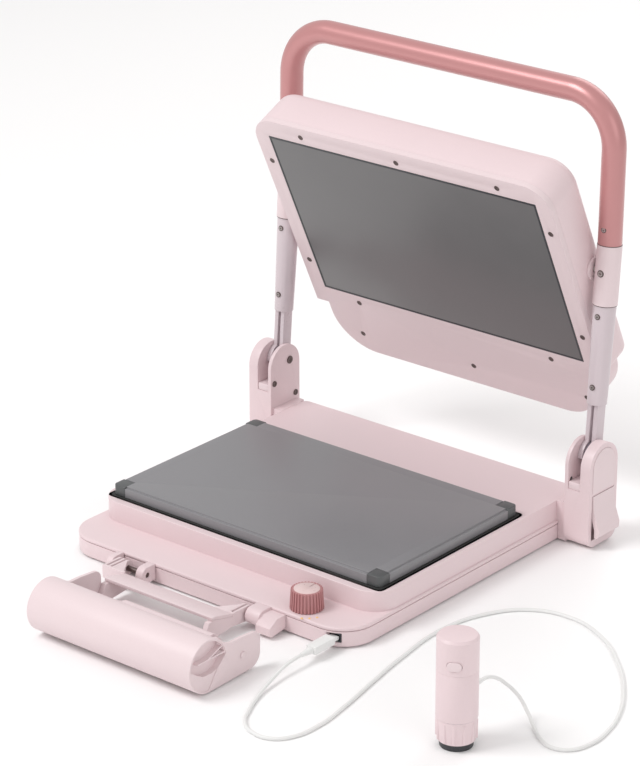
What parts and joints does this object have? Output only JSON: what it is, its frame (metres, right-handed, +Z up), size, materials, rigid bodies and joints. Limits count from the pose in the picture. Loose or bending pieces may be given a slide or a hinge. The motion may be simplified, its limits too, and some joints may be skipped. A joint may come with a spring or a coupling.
{
  "type": "clamshell craft press",
  "caption": "Clamshell heat press with two flat platens, a lever handle, a swing-out roll tray, a temperature knob and a corded hand tool.",
  "frame": {"origin": "on the table under the middle of the outline of the open machine and its hand tool, without the cord", "axes": "+X to the right along the hinges, +Y from the roll tray to the back, +Z up"},
  "size_m": [0.6071, 0.5731, 0.4165],
  "materials": {
    "housing": "satin moulded, pale pink",
    "pale_housing": "satin moulded, paler pink",
    "pale_metal": "painted pale pink, satin",
    "rose_metal": "painted dusty rose, satin",
    "rose_plastic": "satin moulded, dusty rose",
    "platen_grey": "non-stick coated, satin",
    "upper_platen_grey": "non-stick coated, satin",
    "cam_plastic": "satin",
    "dark_plastic": "satin",
    "rubber": "matte",
    "steel": "satin",
    "heater_film": "film",
    "circuit_board": "lacquered",
    "white_plastic": "satin",
    "white_cord": "satin jacket"
  },
  "bodies": {
    "base": {"base_pan": "housing", "base_cover": "housing", "rubber_feet": "rubber", "base_screws": "steel", "platen_gasket": "rubber", "lower_platen": "platen_grey", "platen_corners": "dark_plastic", "lower_heater": "heater_film", "control_board": "circuit_board", "knob_spindle": "steel", "tool_socket": "dark_plastic", "power_inlet": "dark_plastic", "inlet_pins": "steel", "left_tower": "housing", "right_tower": "housing", "left_stop_block": "pale_housing", "right_stop_block": "pale_housing", "left_side_cover": "housing", "right_side_cover": "housing", "paddle_pin": "steel", "arm_pivot_pins": "steel", "tower_screws": "dark_plastic", "tray_brackets": "housing", "tray_hinge_pins": "steel", "tool_tip": "dark_plastic", "tool_body": "housing", "tool_cap": "housing", "tool_motor": "steel", "tool_boot": "white_plastic", "tool_cord": "white_cord", "plug_boot": "white_plastic", "tool_plug": "white_plastic"},
    "lever": {"left_arm": "pale_metal", "right_arm": "pale_metal", "left_cam": "cam_plastic", "right_cam": "cam_plastic", "left_sleeve": "pale_metal", "right_sleeve": "pale_metal", "arm_screws": "steel", "handle_tube": "rose_metal"},
    "head": {"head_cover": "housing", "head_bezel": "pale_housing", "upper_gasket": "rubber", "upper_platen": "upper_platen_grey", "upper_heater": "heater_film", "bezel_screws": "steel", "pivot_bosses": "pale_housing", "head_pins": "steel"},
    "tray": {"roll_tray": "pale_housing", "tray_bridge": "pale_housing", "tray_arms": "pale_housing"},
    "roll": {"roll_core": "pale_housing", "roll_plugs": "housing"},
    "knob": {"temperature_knob": "rose_plastic"},
    "paddle": {"release_paddle": "pale_housing"},
    "collar": {"tool_collar": "housing"},
    "button": {"tool_button": "pale_housing"}
  },
  "joints": [
    {"name": "lever_swing", "type": "hinge", "parent": "base", "child": "lever", "pos_m": [-0.0712, 0.18542, 0.081], "axis": [1, 0, 0], "range_deg": [0, 95.24]},
    {"name": "head_tilt", "type": "hinge", "parent": "lever", "child": "head", "pos_m": [-0.0712, 0.1987, 0.24979], "axis": [1, 0, 0], "range_deg": [-30.66, 0]},
    {"name": "tray_swing", "type": "hinge", "parent": "base", "child": "tray", "pos_m": [-0.0712, -0.14508, 0.012], "axis": [-1, 0, 0], "range_deg": [0, 45]},
    {"name": "roll_spin", "type": "hinge", "parent": "tray", "child": "roll", "pos_m": [-0.0362, -0.21708, 0.019], "axis": [1, 0, 0], "continuous": true},
    {"name": "knob_turn", "type": "hinge", "parent": "base", "child": "knob", "pos_m": [0.0318, -0.11708, 0.02], "axis": [0, 0, -1], "range_deg": [0, 270]},
    {"name": "paddle_press", "type": "hinge", "parent": "base", "child": "paddle", "pos_m": [0.1218, 0.17892, 0.047], "axis": [0, 1, 0], "range_deg": [0, 8], "stiffness_Nm_per_rad": 0.4, "springref_deg": -2.86},
    {"name": "collar_turn", "type": "hinge", "parent": "base", "child": "collar", "pos_m": [0.2528, -0.19808, 0.016], "axis": [0, 0, 1], "range_deg": [0, 60]},
    {"name": "button_press", "type": "slide", "parent": "base", "child": "button", "axis": [-0.4695, 0.8829, 0], "range_m": [0, 0.0012], "stiffness_N_per_m": 400, "springref_m": -0.0005}
  ],
  "couplings": [
    {"joint": "head_tilt", "follows": "lever_swing", "ratio": -0.32175}
  ]
}
